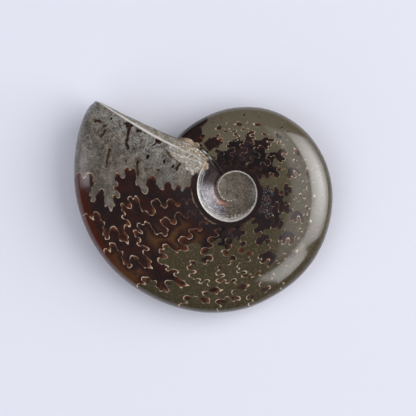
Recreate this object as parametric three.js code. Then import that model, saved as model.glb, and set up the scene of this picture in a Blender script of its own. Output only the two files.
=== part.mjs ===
// A polished ammonite fossil lying on its side: one stone, with a tight coil whose last whorl opens at the upper left.
//
// Every point of its surface is worked out from two coordinates. The turn is the growth angle in degrees, clockwise
// seen from above, with 0 pointing along +X. The other runs across the whorl, from the shell's inner edge to the
// mid line of its outer rim. The upper side is built first and the lower side mirrors it, then the stone is tipped on
// to the flat that polishing left below. Lengths are in millimetres, +Z is up, and the origin is the middle of the base.
import * as THREE from 'three';

// How the shell grows. The rim follows a logarithmic spiral, and one full turn multiplies its radius by RIM_GROWTH.
const RIM_RADIUS = 19.9;            // at turn 0
const RIM_GROWTH = 2.42;
const HALF_THICKNESS = 4.6;         // of the whorl at turn 0
const THICKNESS_GROWTH = 1.75;      // per full turn

// Where the visible coil starts and ends, measured at the inner end of each cross-section.
const LAST_TURN = 231;
const FULL_TURN = 360;
const COVERED_TURN = LAST_TURN - FULL_TURN;     // where the last whorl comes out from under its own end
const FIRST_TURN = COVERED_TURN - FULL_TURN;    // the middle of the coil

// The sharp shoulder round the hollow in the middle: [turn, radius].
const SHOULDER = [
  [-489, 0], [-440, 0.75], [-380, 1.6], [-300, 2.4], [-250, 2.8], [-190, 2.88], [-130, 3.02], [-90, 3.3],
  [-50, 3.85], [0, 4.7], [50, 5.85], [90, 6.6], [130, 6.8], [180, 7.0], [231, 7.35],
];
// How far grinding left the rim from the true spiral, as a share of its radius: [turn, share].
const RIM_WEAR = [
  [-150, 0.03], [-137, 0.025], [-113, -0.014], [-85, -0.014], [-60, 0.007], [-30, 0.013], [-3, 0.008],
  [15, -0.002], [45, -0.004], [67, -0.01], [85, 0], [125, -0.001], [146, 0.009], [172, 0.01], [187, -0.001],
  [204, -0.012], [213, -0.036], [231, -0.1],
];

// The flank in cross-section: u is 0 at the shoulder and 1 at the rim.
const SHOULDER_DROP = 0.03;         // how much lower the shoulder is than the crown, as a share of the thickness
const CROWN = 0.15;                 // u of the thickest place
const FLANK_SLOPE = 0.50;
const FLANK_TURNDOWN = 0.28;
const RIM_EDGE = 0.965;             // u of the edge where the narrow outer band starts
const BAND_ROUND = 1.7;

// The hollow in the middle.
const MIDDLE_HEIGHT = 3.3;          // of the innermost whorls over the mid plane
const HOLLOW_STEEPNESS = 2.2;
const SEAM_DEPTH = 0.22;
const SEAM_PLACE = 0.16;
const SEAM_WIDTH = 0.10;

// The open end, where the last whorl stops and the rough filling shows.
const MOUTH_SWEEP = 18.2;           // how far the end leans back towards the rim, in degrees
const MOUTH_HOOK = 12.5;
const MOUTH_HOOK_REACH = 0.22;
const RAMP_SWEEP = 5.7;
const FOOT_LEAN = 6.5;
const FOOT_BOW = 4;
const SHEAR_FADE = 4;               // how quickly those leans die away along the whorl
const MOUTH_BULGE = 0.5;
const MOUTH_DIRECTION = new THREE.Vector3(0.38, 0.92, 0);

// How it lies: the coil's mid plane is tipped until the stone stands on the flat below.
const TIP_ABOUT_X = 3.0;            // in degrees
const TIP_ABOUT_Y = 2.0;
const FLAT_DEPTH = 0.3;             // how deep polishing cut the flat into the lower flank

// How finely the surface is divided.
const STEPS_PER_TURN = 72;
const RAMP_STEPS = 5;
const FLANK_STEPS = 12;
const BAND_STEPS = 3;
const MOUTH_STEPS = 5;

const radians = (degrees) => degrees * Math.PI / 180;
const mix = (a, b, share) => a + (b - a) * share;

// A smooth curve through hand-picked points, given as [turn, value].
function through(points) {
  return (turn) => {
    const last = points.length - 1;
    const at = points.findIndex((p) => p[0] > turn);
    const i = at < 0 ? last - 1 : Math.max(at - 1, 0);
    const [x0, y0] = points[i];
    const [x1, y1] = points[i + 1];
    const slope = (a, b) => (points[b][1] - points[a][1]) / (points[b][0] - points[a][0]);
    const m0 = slope(Math.max(i - 1, 0), i + 1);
    const m1 = slope(i, Math.min(i + 2, last));
    const span = x1 - x0;
    const t = Math.min(Math.max((turn - x0) / span, 0), 1);
    return (2 * t ** 3 - 3 * t ** 2 + 1) * y0 + (t ** 3 - 2 * t ** 2 + t) * span * m0
      + (3 * t ** 2 - 2 * t ** 3) * y1 + (t ** 3 - t ** 2) * span * m1;
  };
}

const shoulderRadius = through(SHOULDER);
const rimWear = through(RIM_WEAR);
const rimRadius = (turn) => RIM_RADIUS * RIM_GROWTH ** (turn / FULL_TURN) * (1 + rimWear(turn));
const halfThickness = (turn) => HALF_THICKNESS * THICKNESS_GROWTH ** (turn / FULL_TURN);

// The height of the flank over the mid plane, as a share of the half thickness.
function flankShare(u) {
  if (u < CROWN) {
    return 1 - SHOULDER_DROP * ((CROWN - u) / CROWN) ** 2;
  }
  const x = (u - CROWN) / (1 - CROWN);
  return 1 - FLANK_SLOPE * x ** 2.2 - FLANK_TURNDOWN * x ** 8;
}

function shoulderHeight(turn) {
  if (turn >= COVERED_TURN) {
    return halfThickness(turn) * flankShare(0);
  }
  const share = (turn - FIRST_TURN) / FULL_TURN;
  const outer = halfThickness(COVERED_TURN) * flankShare(0);
  return mix(MIDDLE_HEIGHT, outer, share ** 3);
}

// How far round the whorl a point is: cross-sections lean at both ends of the last turn.
function leanOfFlank(turn, u) {
  const share = (turn - COVERED_TURN) / FULL_TURN;
  const mouth = -MOUTH_SWEEP + MOUTH_HOOK * Math.exp(-((u / MOUTH_HOOK_REACH) ** 1.4));
  const foot = FOOT_BOW * u * (1 - u) - FOOT_LEAN * u ** 3;
  return mouth * share ** SHEAR_FADE + foot * (1 - share) ** SHEAR_FADE;
}

function point(turn, radius, height) {
  return new THREE.Vector3(radius * Math.cos(radians(turn)), -radius * Math.sin(radians(turn)), height);
}

function flankPoint(turn, u) {
  const where = turn + leanOfFlank(turn, u);
  const inner = shoulderRadius(where);
  const outer = rimRadius(where);
  return point(where, mix(inner, outer, u), halfThickness(where) * flankShare(u));
}

// The narrow outer band falls from the rim's edge to the mid plane.
function bandPoint(turn, share) {
  const where = turn + leanOfFlank(turn, 1);
  const inner = shoulderRadius(where);
  const outer = rimRadius(where);
  const edge = mix(inner, outer, RIM_EDGE);
  const radius = outer - (outer - edge) * (1 - share) ** BAND_ROUND;
  return point(where, radius, halfThickness(where) * flankShare(RIM_EDGE) * (1 - share));
}

// The hollow's wall, from the whorl before (w = 0) up to this whorl's own shoulder (w = 1).
function rampPoint(turn, w) {
  const share = Math.max((turn - COVERED_TURN) / FULL_TURN, 0);
  const where = turn - RAMP_SWEEP * w * share ** SHEAR_FADE;
  const covered = turn >= COVERED_TURN;
  const inner = covered ? shoulderRadius(turn - FULL_TURN) : 0;
  const low = covered ? shoulderHeight(turn - FULL_TURN) : MIDDLE_HEIGHT;
  const high = shoulderHeight(where);
  const seam = covered ? SEAM_DEPTH * Math.exp(-(((w - SEAM_PLACE) / SEAM_WIDTH) ** 2)) * Math.min(1, 8 * w) : 0;
  return point(where, mix(inner, shoulderRadius(where), w), mix(low, high, w ** HOLLOW_STEEPNESS) - seam);
}

// The stone's surface as one list of points and one of triangles.
const points = [];
const triangles = [];

function addPoint(position) {
  return points.push(position) - 1;
}

function addTriangle(a, b, c, side) {
  if (a === b || b === c || c === a) {
    return;
  }
  triangles.push(...(side > 0 ? [a, b, c] : [c, b, a]));
}

// Four corners in order round a patch of the upper side. The lower side takes them the other way round.
function addPatch(a, b, c, d, side) {
  addTriangle(a, b, c, side);
  addTriangle(a, c, d, side);
}

function patchBetween(rows, side) {
  for (let i = 0; i + 1 < rows.length; i += 1) {
    for (let j = 0; j + 1 < rows[i].length; j += 1) {
      addPatch(rows[i][j], rows[i + 1][j], rows[i + 1][j + 1], rows[i][j + 1], side);
    }
  }
}

// Joins two rows of points that need not hold the same number of them.
function stitch(near, far, side) {
  let a = 0;
  let b = 0;
  while (a + 1 < near.length || b + 1 < far.length) {
    const stepNear = b + 1 >= far.length
      || (a + 1 < near.length && (a + 1) / (near.length - 1) <= (b + 1) / (far.length - 1));
    if (stepNear) {
      addTriangle(near[a + 1], near[a], far[b], side);
      a += 1;
    } else {
      addTriangle(near[a], far[b], far[b + 1], side);
      b += 1;
    }
  }
}

const mirrored = (position, side) => new THREE.Vector3(position.x, position.y, position.z * side);

// The hollow: a spiral strip, whose inner edge is the outer edge of the turn before.
function hollowRows(side) {
  const centre = addPoint(new THREE.Vector3(0, 0, MIDDLE_HEIGHT * side));
  const rows = [Array(RAMP_STEPS + 1).fill(centre)];
  for (let i = 1; i <= 2 * STEPS_PER_TURN; i += 1) {
    const turn = FIRST_TURN + i * FULL_TURN / STEPS_PER_TURN;
    const row = [i < STEPS_PER_TURN ? centre : rows[i - STEPS_PER_TURN][RAMP_STEPS]];
    for (let j = 1; j <= RAMP_STEPS; j += 1) {
      row.push(addPoint(mirrored(rampPoint(turn, j / RAMP_STEPS), side)));
    }
    rows.push(row);
  }
  return rows;
}

// The rim's mid line belongs to both sides, so it is made once.
function rimLine() {
  const line = [];
  for (let i = 0; i <= STEPS_PER_TURN; i += 1) {
    line.push(addPoint(bandPoint(COVERED_TURN + i * FULL_TURN / STEPS_PER_TURN, 1)));
  }
  return line;
}

// The flank and the outer band of the last turn, from the shoulder to the rim.
function flankRows(hollow, rim, side) {
  const rows = [];
  for (let i = 0; i <= STEPS_PER_TURN; i += 1) {
    const turn = COVERED_TURN + i * FULL_TURN / STEPS_PER_TURN;
    const row = [hollow[i + STEPS_PER_TURN][RAMP_STEPS]];
    for (let j = 1; j <= FLANK_STEPS; j += 1) {
      row.push(addPoint(mirrored(flankPoint(turn, RIM_EDGE * j / FLANK_STEPS), side)));
    }
    for (let j = 1; j < BAND_STEPS; j += 1) {
      row.push(addPoint(mirrored(bandPoint(turn, j / BAND_STEPS), side)));
    }
    row.push(rim[i]);
    rows.push(row);
  }
  return rows;
}

// The distance covered at each point of a row, as a share of the whole row.
function distanceShares(row) {
  const shares = [0];
  for (let i = 1; i < row.length; i += 1) {
    shares.push(shares[i - 1] + points[row[i]].distanceTo(points[row[i - 1]]));
  }
  return shares.map((d) => d / shares[row.length - 1]);
}

function alongRow(row, shares, share) {
  const i = Math.min(Math.max(shares.findIndex((s) => s >= share), 1), row.length - 1);
  const local = (share - shares[i - 1]) / (shares[i] - shares[i - 1]);
  return points[row[i - 1]].clone().lerp(points[row[i]], local);
}

// The rough end of the last whorl, from its own edge to where it meets the whorl before.
function mouthRows(edge, foot, midLine, side) {
  const edgeShares = distanceShares(edge);
  const footShares = distanceShares(foot);
  const rows = [edge];
  for (let q = 1; q < MOUTH_STEPS; q += 1) {
    const row = [edge[0]];
    for (let s = 1; s + 1 < edge.length; s += 1) {
      const start = points[edge[s]];
      const end = alongRow(foot, footShares, edgeShares[s]);
      const position = start.clone().lerp(end, q / MOUTH_STEPS);
      const bulge = MOUTH_BULGE * Math.sin(Math.PI * q / MOUTH_STEPS) * Math.sin(Math.PI * edgeShares[s]);
      position.addScaledVector(MOUTH_DIRECTION, bulge);
      row.push(addPoint(position));
    }
    row.push(midLine[q]);
    rows.push(row);
  }
  return rows;
}

function mouthMidLine(tip, notch) {
  const line = [tip];
  for (let q = 1; q < MOUTH_STEPS; q += 1) {
    line.push(addPoint(points[tip].clone().lerp(points[notch], q / MOUTH_STEPS)));
  }
  return line;
}

const rim = rimLine();
const midLine = mouthMidLine(rim[STEPS_PER_TURN], rim[0]);
for (const side of [1, -1]) {
  const hollow = hollowRows(side);
  const flank = flankRows(hollow, rim, side);
  const edge = [...hollow[2 * STEPS_PER_TURN], ...flank[STEPS_PER_TURN].slice(1)];
  const mouth = mouthRows(edge, flank[0], midLine, side);
  patchBetween(hollow, side);
  patchBetween(flank, side);
  patchBetween(mouth, side);
  stitch(mouth[MOUTH_STEPS - 1], flank[0], side);
}

// Tips the coil on to its flat and sets the middle of the base at the origin.
function layDown() {
  const tip = new THREE.Euler(radians(TIP_ABOUT_X), radians(TIP_ABOUT_Y), 0);
  points.forEach((position) => position.applyEuler(tip));
  const box = new THREE.Box3().setFromPoints(points);
  const middle = box.getCenter(new THREE.Vector3());
  const base = box.min.z + FLAT_DEPTH;
  for (const position of points) {
    position.set(position.x - middle.x, position.y - middle.y, Math.max(position.z - base, 0));
  }
}

function stoneGeometry() {
  const geometry = new THREE.BufferGeometry();
  geometry.setAttribute('position', new THREE.Float32BufferAttribute(points.flatMap((p) => p.toArray()), 3));
  geometry.setIndex(triangles);
  geometry.computeVertexNormals();
  return geometry;
}

layDown();
const polishedStone = new THREE.MeshStandardMaterial({ color: 0x57503f, roughness: 0.22, metalness: 0 });
const ammonite = new THREE.Mesh(stoneGeometry(), polishedStone);
ammonite.name = 'ammonite';

const fossil = new THREE.Group();
fossil.add(ammonite);
export default fossil;
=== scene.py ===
# %% [markdown]
# # A polished ammonite, cell by cell
#
# This lesson dresses one fossil: a small coiled shell that was ground and polished until the walls between
# its chambers show as frilled lines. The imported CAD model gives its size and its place, and nothing here
# changes them. Lengths are in millimetres until the last step of the mesh, which turns them into Blender's
# metres.

# %% The fixed frame
import math

import bpy
import numpy as np
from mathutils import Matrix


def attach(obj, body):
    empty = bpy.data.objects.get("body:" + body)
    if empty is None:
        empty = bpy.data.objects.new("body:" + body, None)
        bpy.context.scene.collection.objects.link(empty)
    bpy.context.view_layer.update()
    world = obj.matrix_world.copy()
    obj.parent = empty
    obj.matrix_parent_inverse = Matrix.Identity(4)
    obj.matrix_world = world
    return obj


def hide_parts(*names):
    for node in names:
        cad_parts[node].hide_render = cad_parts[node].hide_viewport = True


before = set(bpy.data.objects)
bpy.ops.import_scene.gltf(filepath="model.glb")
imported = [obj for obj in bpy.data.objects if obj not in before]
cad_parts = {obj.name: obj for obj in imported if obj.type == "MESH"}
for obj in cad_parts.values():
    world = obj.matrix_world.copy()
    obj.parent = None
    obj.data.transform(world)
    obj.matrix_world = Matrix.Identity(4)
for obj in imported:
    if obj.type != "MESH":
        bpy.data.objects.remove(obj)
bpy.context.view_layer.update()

# %% [markdown]
# ## How the shell grows
#
# A real ammonite keeps its shape as it grows, so its rim is a logarithmic spiral. Everything below is
# worked out from the growth angle, in degrees clockwise as seen from above. The same measures drive the CAD
# model, so the fine skin made here lies on it. Only the mouth's foot and face were set anew, against the
# photograph. Curves that follow no formula, such as the hollow's shoulder, go through a few points.

# %% Measures of the coil
RIM_RADIUS = 19.9
RIM_GROWTH = 2.42
HALF_THICKNESS = 4.6
THICKNESS_GROWTH = 1.75
FULL_TURN = 360
LAST_TURN = 231
COVERED_TURN = LAST_TURN - FULL_TURN
FIRST_TURN = COVERED_TURN - FULL_TURN
SHOULDER = np.array([
    (-489, 0), (-440, 0.75), (-380, 1.6), (-300, 2.4), (-250, 2.8), (-190, 2.88), (-130, 3.02), (-90, 3.3),
    (-50, 3.85), (0, 4.7), (50, 5.85), (90, 6.6), (130, 6.8), (180, 7.0), (231, 7.35),
])
RIM_WEAR = np.array([
    (-150, 0.03), (-137, 0.025), (-113, -0.014), (-85, -0.014), (-60, 0.007), (-30, 0.013), (-3, 0.008),
    (15, -0.002), (45, -0.004), (67, -0.01), (85, 0), (125, -0.001), (146, 0.009), (172, 0.01),
    (187, -0.001), (204, -0.012), (213, -0.036), (231, -0.1),
])


def through(points, at):
    """A smooth curve through given points: cubic pieces, sloped at a point as its neighbours are."""
    x, y = points[:, 0], points[:, 1]
    last = len(x) - 1
    i = np.clip(np.searchsorted(x, at, side="right") - 1, 0, last - 1)

    def slope(first, second):
        return (y[second] - y[first]) / (x[second] - x[first])

    start_slope = slope(np.maximum(i - 1, 0), i + 1)
    end_slope = slope(i, np.minimum(i + 2, last))
    span = x[i + 1] - x[i]
    t = np.clip((at - x[i]) / span, 0, 1)
    return ((2 * t**3 - 3 * t**2 + 1) * y[i] + (t**3 - 2 * t**2 + t) * span * start_slope
            + (3 * t**2 - 2 * t**3) * y[i + 1] + (t**3 - t**2) * span * end_slope)


def shoulder_radius(turn):
    """How far the sharp shoulder round the hollow is from the middle of the coil."""
    return through(SHOULDER, turn)


def spiral_radius(turn):
    """The true spiral: the radius at turn 0 times the growth, raised to the number of turns."""
    return RIM_RADIUS * RIM_GROWTH ** (turn / FULL_TURN)


def rim_radius(turn):
    """The spiral as grinding left it."""
    return spiral_radius(turn) * (1 + through(RIM_WEAR, turn))


def half_thickness(turn):
    """Half the whorl's thickness, which grows more slowly than its radius."""
    return HALF_THICKNESS * THICKNESS_GROWTH ** (turn / FULL_TURN)


print("rim radius at the mouth:", round(float(rim_radius(LAST_TURN)), 1))

# %% [markdown]
# ## The cross-section of a whorl
#
# The flank is domed: nearly level by the hollow, then falling ever faster towards the rim, where a narrow
# outer band turns down to the mid plane. Inside the shoulder lies the hollow, a strip that winds in to the
# middle of the coil. Each of these is a function of two parameters, one along the spiral and one across it.

# %% Flank, band and hollow as functions of two parameters
SHOULDER_DROP = 0.03
CROWN = 0.15
FLANK_SLOPE = 0.50
FLANK_SLOPE_POWER = 2.2
FLANK_TURNDOWN = 0.28
FLANK_TURNDOWN_POWER = 8
RIM_EDGE = 0.965
BAND_ROUND = 1.7
MIDDLE_HEIGHT = 3.3
HOLLOW_STEEPNESS = 2.2
SEAM_DEPTH = 0.22
SEAM_PLACE = 0.16
SEAM_WIDTH = 0.10
SEAM_FOOT = 8
SEAM_OPENS = 60
SEAM_WIDENS = 60
MOUTH_SWEEP = 18.2
MOUTH_HOOK = 12.5
MOUTH_HOOK_REACH = 0.22
MOUTH_HOOK_POWER = 1.4
RAMP_SWEEP = 5.7
FOOT_LEAN = 12
FOOT_BOW = 4
SHEAR_FADE = 4
MOUTH_BULGE = 0.1
MOUTH_DIRECTION = np.array([0.38, 0.92, 0])


def mix(a, b, share):
    """A value between a and b."""
    return a + (b - a) * share


def point(turn, radius, height):
    """A place on the coil, from its growth angle, its radius and its height over the mid plane."""
    angle = np.radians(turn)
    turn, radius, height = np.broadcast_arrays(turn, radius, height)
    return np.stack([radius * np.cos(angle), -radius * np.sin(angle), height], axis=-1)


def flank_share(u):
    """The flank's height, as a share: one, less a gentle and a steep power of the way out past the crown."""
    inner = 1 - SHOULDER_DROP * ((CROWN - u) / CROWN) ** 2
    x = np.maximum(u - CROWN, 0) / (1 - CROWN)
    outer = 1 - FLANK_SLOPE * x**FLANK_SLOPE_POWER - FLANK_TURNDOWN * x**FLANK_TURNDOWN_POWER
    return np.where(u < CROWN, inner, outer)


def shoulder_height(turn):
    """The shoulder's height: it follows the whorl's thickness, and sinks by a cube on the inner turns."""
    outer = half_thickness(COVERED_TURN) * flank_share(0.0)
    sunk = mix(MIDDLE_HEIGHT, outer, ((turn - FIRST_TURN) / FULL_TURN) ** 3)
    return np.where(turn >= COVERED_TURN, half_thickness(turn) * flank_share(0.0), sunk)


def lean(turn, u):
    """How many degrees round the whorl a cross-section is carried: back at the mouth, bowed at its foot."""
    share = (turn - COVERED_TURN) / FULL_TURN
    mouth = -MOUTH_SWEEP + MOUTH_HOOK * np.exp(-((u / MOUTH_HOOK_REACH) ** MOUTH_HOOK_POWER))
    foot = FOOT_BOW * u * (1 - u) - FOOT_LEAN * u**3
    return mouth * share**SHEAR_FADE + foot * (1 - share) ** SHEAR_FADE


def flank(turn, u):
    """The flank: u runs from the shoulder at 0 to the rim at 1."""
    where = turn + lean(turn, u)
    radius = mix(shoulder_radius(where), rim_radius(where), u)
    return point(where, radius, half_thickness(where) * flank_share(u)), where


def band(turn, share):
    """The outer band: share runs from the rim's edge at 0 to the mid plane at 1. The radius rounds over."""
    where = turn + lean(turn, 1.0)
    outer = rim_radius(where)
    edge = mix(shoulder_radius(where), outer, RIM_EDGE)
    radius = outer - (outer - edge) * (1 - share) ** BAND_ROUND
    return point(where, radius, half_thickness(where) * flank_share(RIM_EDGE) * (1 - share)), where


def hollow(turn, w):
    """The hollow's wall: w runs from the turn before at 0, past a seam, to this turn's shoulder at 1."""
    share = np.maximum((turn - COVERED_TURN) / FULL_TURN, 0)
    where = turn - RAMP_SWEEP * w * share**SHEAR_FADE
    covered = turn >= COVERED_TURN
    before = np.maximum(turn - FULL_TURN, FIRST_TURN)
    inner = np.where(covered, shoulder_radius(before), 0)
    low = np.where(covered, shoulder_height(before), MIDDLE_HEIGHT)
    seam = SEAM_DEPTH * np.exp(-(((w - SEAM_PLACE) / SEAM_WIDTH) ** 2)) * np.minimum(1, SEAM_FOOT * w)
    seam = seam * covered * np.clip((turn - SEAM_OPENS) / SEAM_WIDENS, 0, 1)
    radius = mix(inner, shoulder_radius(where), w)
    return point(where, radius, mix(low, shoulder_height(where), w**HOLLOW_STEEPNESS) - seam), where


# %% [markdown]
# ## Points and triangles
#
# A plain grid would put far too many points at the small end of the spiral and too few at the mouth, where
# the pattern needs them. So each patch gets the number of points it needs, and neighbouring lines of
# unequal count are zipped: sort the steps of both lines by how far along they are, and let each step make
# one triangle.

# %% Where points and triangles are collected
skin = {name: [] for name in ("position", "side", "turn", "out", "end")}
triangles = []
point_count = 0


def add(side, position, turn, out=0.0, end=99.0):
    """Stores points with their growth angle and their distances from the shoulder and the mouth's edge."""
    global point_count
    position = np.array(position, dtype=float)
    shape = position.shape[:-1]
    position[..., 2] *= side
    skin["position"].append(position.reshape(-1, 3))
    for name, value in (("side", side), ("turn", turn), ("out", out), ("end", end)):
        skin[name].append(np.broadcast_to(value, shape).ravel().astype(float))
    ids = point_count + np.arange(int(np.prod(shape))).reshape(shape)
    point_count += ids.size
    return ids


def keep_triangles(corners, side):
    """Stores triangles, turned over on the lower side, without those that have no area."""
    corners = corners[:, ::-1] if side < 0 else corners
    a, b, c = corners.T
    triangles.append(corners[(a != b) & (b != c) & (c != a)])


def patch(ids, side):
    """Two triangles in each cell of a grid of points."""
    a, b, c, d = ids[:-1, :-1], ids[1:, :-1], ids[1:, 1:], ids[:-1, 1:]
    keep_triangles(np.stack([a, b, c], -1).reshape(-1, 3), side)
    keep_triangles(np.stack([a, c, d], -1).reshape(-1, 3), side)


def zip_lines(near, far, near_at, far_at, side):
    """Triangles between two lines of points, where near_at and far_at say how far along each point is."""
    steps = np.concatenate([near_at[1:], far_at[1:]])
    order = np.argsort(steps, kind="stable")
    steps_near = order < len(near) - 1
    a = np.cumsum(steps_near) - steps_near
    b = np.cumsum(~steps_near) - ~steps_near
    next_near = near[np.minimum(a + 1, len(near) - 1)]
    next_far = far[np.minimum(b + 1, len(far) - 1)]
    third = np.where(steps_near, next_near, next_far)
    keep_triangles(np.stack([near[a], far[b], third], -1), side)


# %% How finely each side is divided
FINE = {1: dict(hollow_rows=170, hollow_steps=14, every=1, across=0.2),
        -1: dict(hollow_rows=110, hollow_steps=10, every=2, across=0.38)}
ROWS = 601
LEAST_POINTS = 8
CROWDING = 0.3
BAND_STEPS = 4
BAND_WIDTH = 1.7
MOUTH_ROWS = 48
MIDDLE_OUT = -4.0
MOUTH_RADIUS = 5


def even_turns(count):
    """Growth angles spaced evenly along the rim: the growth, not the angle, goes up in equal steps."""
    rate = math.log(RIM_GROWTH) / FULL_TURN
    return np.log(np.linspace(math.exp(rate * COVERED_TURN), math.exp(rate * LAST_TURN), count)) / rate


ROW_TURNS = even_turns(ROWS)


def hollow_grid(side, rows, steps):
    """The hollow as a spiral strip, whose inner edge is the outer edge of the turn before."""
    centre = add(side, (0, 0, MIDDLE_HEIGHT), FIRST_TURN, MIDDLE_OUT)
    turn = FIRST_TURN + np.arange(1, 2 * rows + 1)[:, None] * FULL_TURN / rows
    w = (np.arange(1, steps + 1) / steps)[None, :]
    position, where = hollow(turn, w)
    wall = shoulder_radius(turn) - np.where(turn > COVERED_TURN, shoulder_radius(turn - FULL_TURN), 0)
    end = np.radians(LAST_TURN - turn) * MOUTH_RADIUS
    own = add(side, position, where, -(1 - w) * wall, np.broadcast_to(end, where.shape))
    ids = np.full((2 * rows + 1, steps + 1), centre)
    ids[1:, 1:] = own
    ids[rows:, 0] = ids[:rows + 1, steps]
    patch(ids, side)
    return ids


def flank_rows(side, every, across):
    """The flank in rows across the whorl, crowded a little by the shoulder; long rows get more points."""
    turns = ROW_TURNS[::every]
    width = rim_radius(turns) - shoulder_radius(turns)
    counts = np.maximum(np.round(width / across).astype(int), LEAST_POINTS)
    starts = np.concatenate([[0], np.cumsum(counts)])
    turn = np.repeat(turns, counts)
    share = (np.arange(starts[-1]) - np.repeat(starts[:-1], counts) + 1) / np.repeat(counts, counts)
    u = RIM_EDGE * share * (1 - CROWDING + CROWDING * share)
    position, where = flank(turn, u)
    out = u * (rim_radius(where) - shoulder_radius(where))
    end = np.radians(LAST_TURN - turn) * np.hypot(position[:, 0], position[:, 1])
    ids = add(side, position, where, out, end)
    rows = [ids[starts[i]:starts[i + 1]] for i in range(len(turns))]
    shares = [share[starts[i]:starts[i + 1]] for i in range(len(turns))]
    for i in range(len(turns) - 1):
        zip_lines(rows[i], rows[i + 1], shares[i], shares[i + 1], side)
    return turns, rows


def close_rim(side, turns, rows, mid_line):
    """The narrow outer band, from the rim's edge to the mid line that both sides share."""
    share = (np.arange(1, BAND_STEPS) / BAND_STEPS)[None, :]
    position, where = band(turns[:, None], share)
    out = rim_radius(where) - shoulder_radius(where)
    end = np.radians(LAST_TURN - turns)[:, None] * np.hypot(position[..., 0], position[..., 1])
    own = add(side, position, where, out + share * BAND_WIDTH, end)
    edge = np.array([row[-1] for row in rows])
    patch(np.concatenate([edge[:, None], own], axis=1), side)
    zip_lines(mid_line, own[:, -1], ROW_TURNS, turns, side)
    return own


mid_position, mid_where = band(ROW_TURNS, 1.0)
mid_line = add(1, mid_position, mid_where, rim_radius(mid_where) - shoulder_radius(mid_where) + BAND_WIDTH,
               np.radians(LAST_TURN - ROW_TURNS) * rim_radius(mid_where))
print("points on the rim's mid line:", len(mid_line))

# %% [markdown]
# ## The broken mouth
#
# The last whorl was broken or sawn off, so its end shows rough filling. That face is ruled: each point of
# the whorl's own edge is joined to the point as far along the line where the whorl meets the turn before,
# and the face swells a little in between. Its two halves meet on a line from the tip of the mouth to the
# notch.

# %% The mouth's face
def gathered(ids):
    """The places of points that are already stored."""
    return np.concatenate(skin["position"])[ids]


def shares_along(position):
    """How far along a line each of its points is, as a share of its length."""
    steps = np.linalg.norm(np.diff(position, axis=0), axis=1)
    along = np.concatenate([[0], np.cumsum(steps)])
    return along / along[-1]


def along(position, shares, at):
    """Places part of the way along a line of points."""
    return np.stack([np.interp(at, shares, position[:, k]) for k in range(3)], axis=-1)


FACE_OUT = 5.0
FACE_MID_OUT = 20.0
FACE_DEPTH = 3
tip, notch = gathered(mid_line[[-1, 0]])
face_shares = np.arange(1, MOUTH_ROWS)[:, None] / MOUTH_ROWS
face_depth = -np.sin(np.pi * face_shares[:, 0]) * FACE_DEPTH
face_mid_line = add(1, mix(tip, notch, face_shares), LAST_TURN, FACE_MID_OUT, face_depth)


def mouth_face(side, edge, foot):
    """Rows of points from the whorl's edge to its foot on the turn before, with ever fewer in each."""
    edge_at, foot_at = gathered(edge), gathered(foot)
    edge_at[:, 2] *= side
    foot_at[:, 2] *= side
    edge_shares, foot_shares = shares_along(edge_at), shares_along(foot_at)
    lines, places = [edge], [edge_shares]
    for row in range(1, MOUTH_ROWS):
        share = row / MOUTH_ROWS
        count = int(round(mix(len(edge), len(foot), share)))
        at = np.interp(np.linspace(0, 1, count), np.linspace(0, 1, len(edge)), edge_shares)
        start, finish = along(edge_at, edge_shares, at), along(foot_at, foot_shares, at)
        bulge = MOUTH_BULGE * math.sin(math.pi * share) * np.sin(np.pi * at)
        position = mix(start, finish, share) + bulge[:, None] * MOUTH_DIRECTION
        reach = np.linalg.norm(finish - start, axis=1)
        depth = np.minimum(share, 1 - share) * reach
        own = add(side, position[1:-1], LAST_TURN, FACE_OUT, -depth[1:-1])
        lines.append(np.concatenate([edge[:1], own, face_mid_line[row - 1:row]]))
        places.append(at)
    lines.append(foot)
    places.append(foot_shares)
    for i in range(MOUTH_ROWS):
        zip_lines(lines[i], lines[i + 1], places[i], places[i + 1], side)


for side in (1, -1):
    fine = FINE[side]
    hollow_ids = hollow_grid(side, fine["hollow_rows"], fine["hollow_steps"])
    turns, rows = flank_rows(side, fine["every"], fine["across"])
    band_ids = close_rim(side, turns, rows, mid_line)
    shoulder = hollow_ids[fine["hollow_rows"]:, -1]
    shoulder_turns = np.linspace(COVERED_TURN, LAST_TURN, len(shoulder))
    zip_lines(np.array([row[0] for row in rows]), shoulder, turns, shoulder_turns, side)
    edge = np.concatenate([hollow_ids[-1], rows[-1], band_ids[-1], mid_line[-1:]])
    foot = np.concatenate([shoulder[:1], rows[0], band_ids[0], mid_line[:1]])
    mouth_face(side, edge, foot)

coil = np.concatenate(skin["position"])
side_of, turn_of, out_of, end_of = (np.concatenate(skin[name]) for name in ("side", "turn", "out", "end"))
faces = np.concatenate(triangles)
print("points:", len(coil), "triangles:", len(faces))

# %% [markdown]
# ## Lying on its flat
#
# The finished fossil rests on a flat that polishing left below, so the coil's mid plane is tipped by a few
# degrees. The middle of its box in plan goes to the origin, and the flat to height zero, exactly as the CAD
# model has it.

# %% Tip the coil on to its flat
TIP_ABOUT_X = 3.0
TIP_ABOUT_Y = 2.0
FLAT_DEPTH = 0.3


def tipped(position):
    """Turns points about X and then about the turned Y, as the CAD model does."""
    ax, ay = math.radians(TIP_ABOUT_X), math.radians(TIP_ABOUT_Y)
    about_x = np.array([[1, 0, 0], [0, math.cos(ax), -math.sin(ax)], [0, math.sin(ax), math.cos(ax)]])
    about_y = np.array([[math.cos(ay), 0, math.sin(ay)], [0, 1, 0], [-math.sin(ay), 0, math.cos(ay)]])
    return position @ (about_x @ about_y).T


laid = tipped(coil)
middle = (laid.min(axis=0) + laid.max(axis=0)) / 2
laid -= [middle[0], middle[1], laid[:, 2].min() + FLAT_DEPTH]
coil_middle = tipped(np.zeros((1, 3)))[0] - [middle[0], middle[1], 0]
print("coil centre in plan:", coil_middle[:2].round(2), "height", laid[:, 2].max().round(2))

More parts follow.
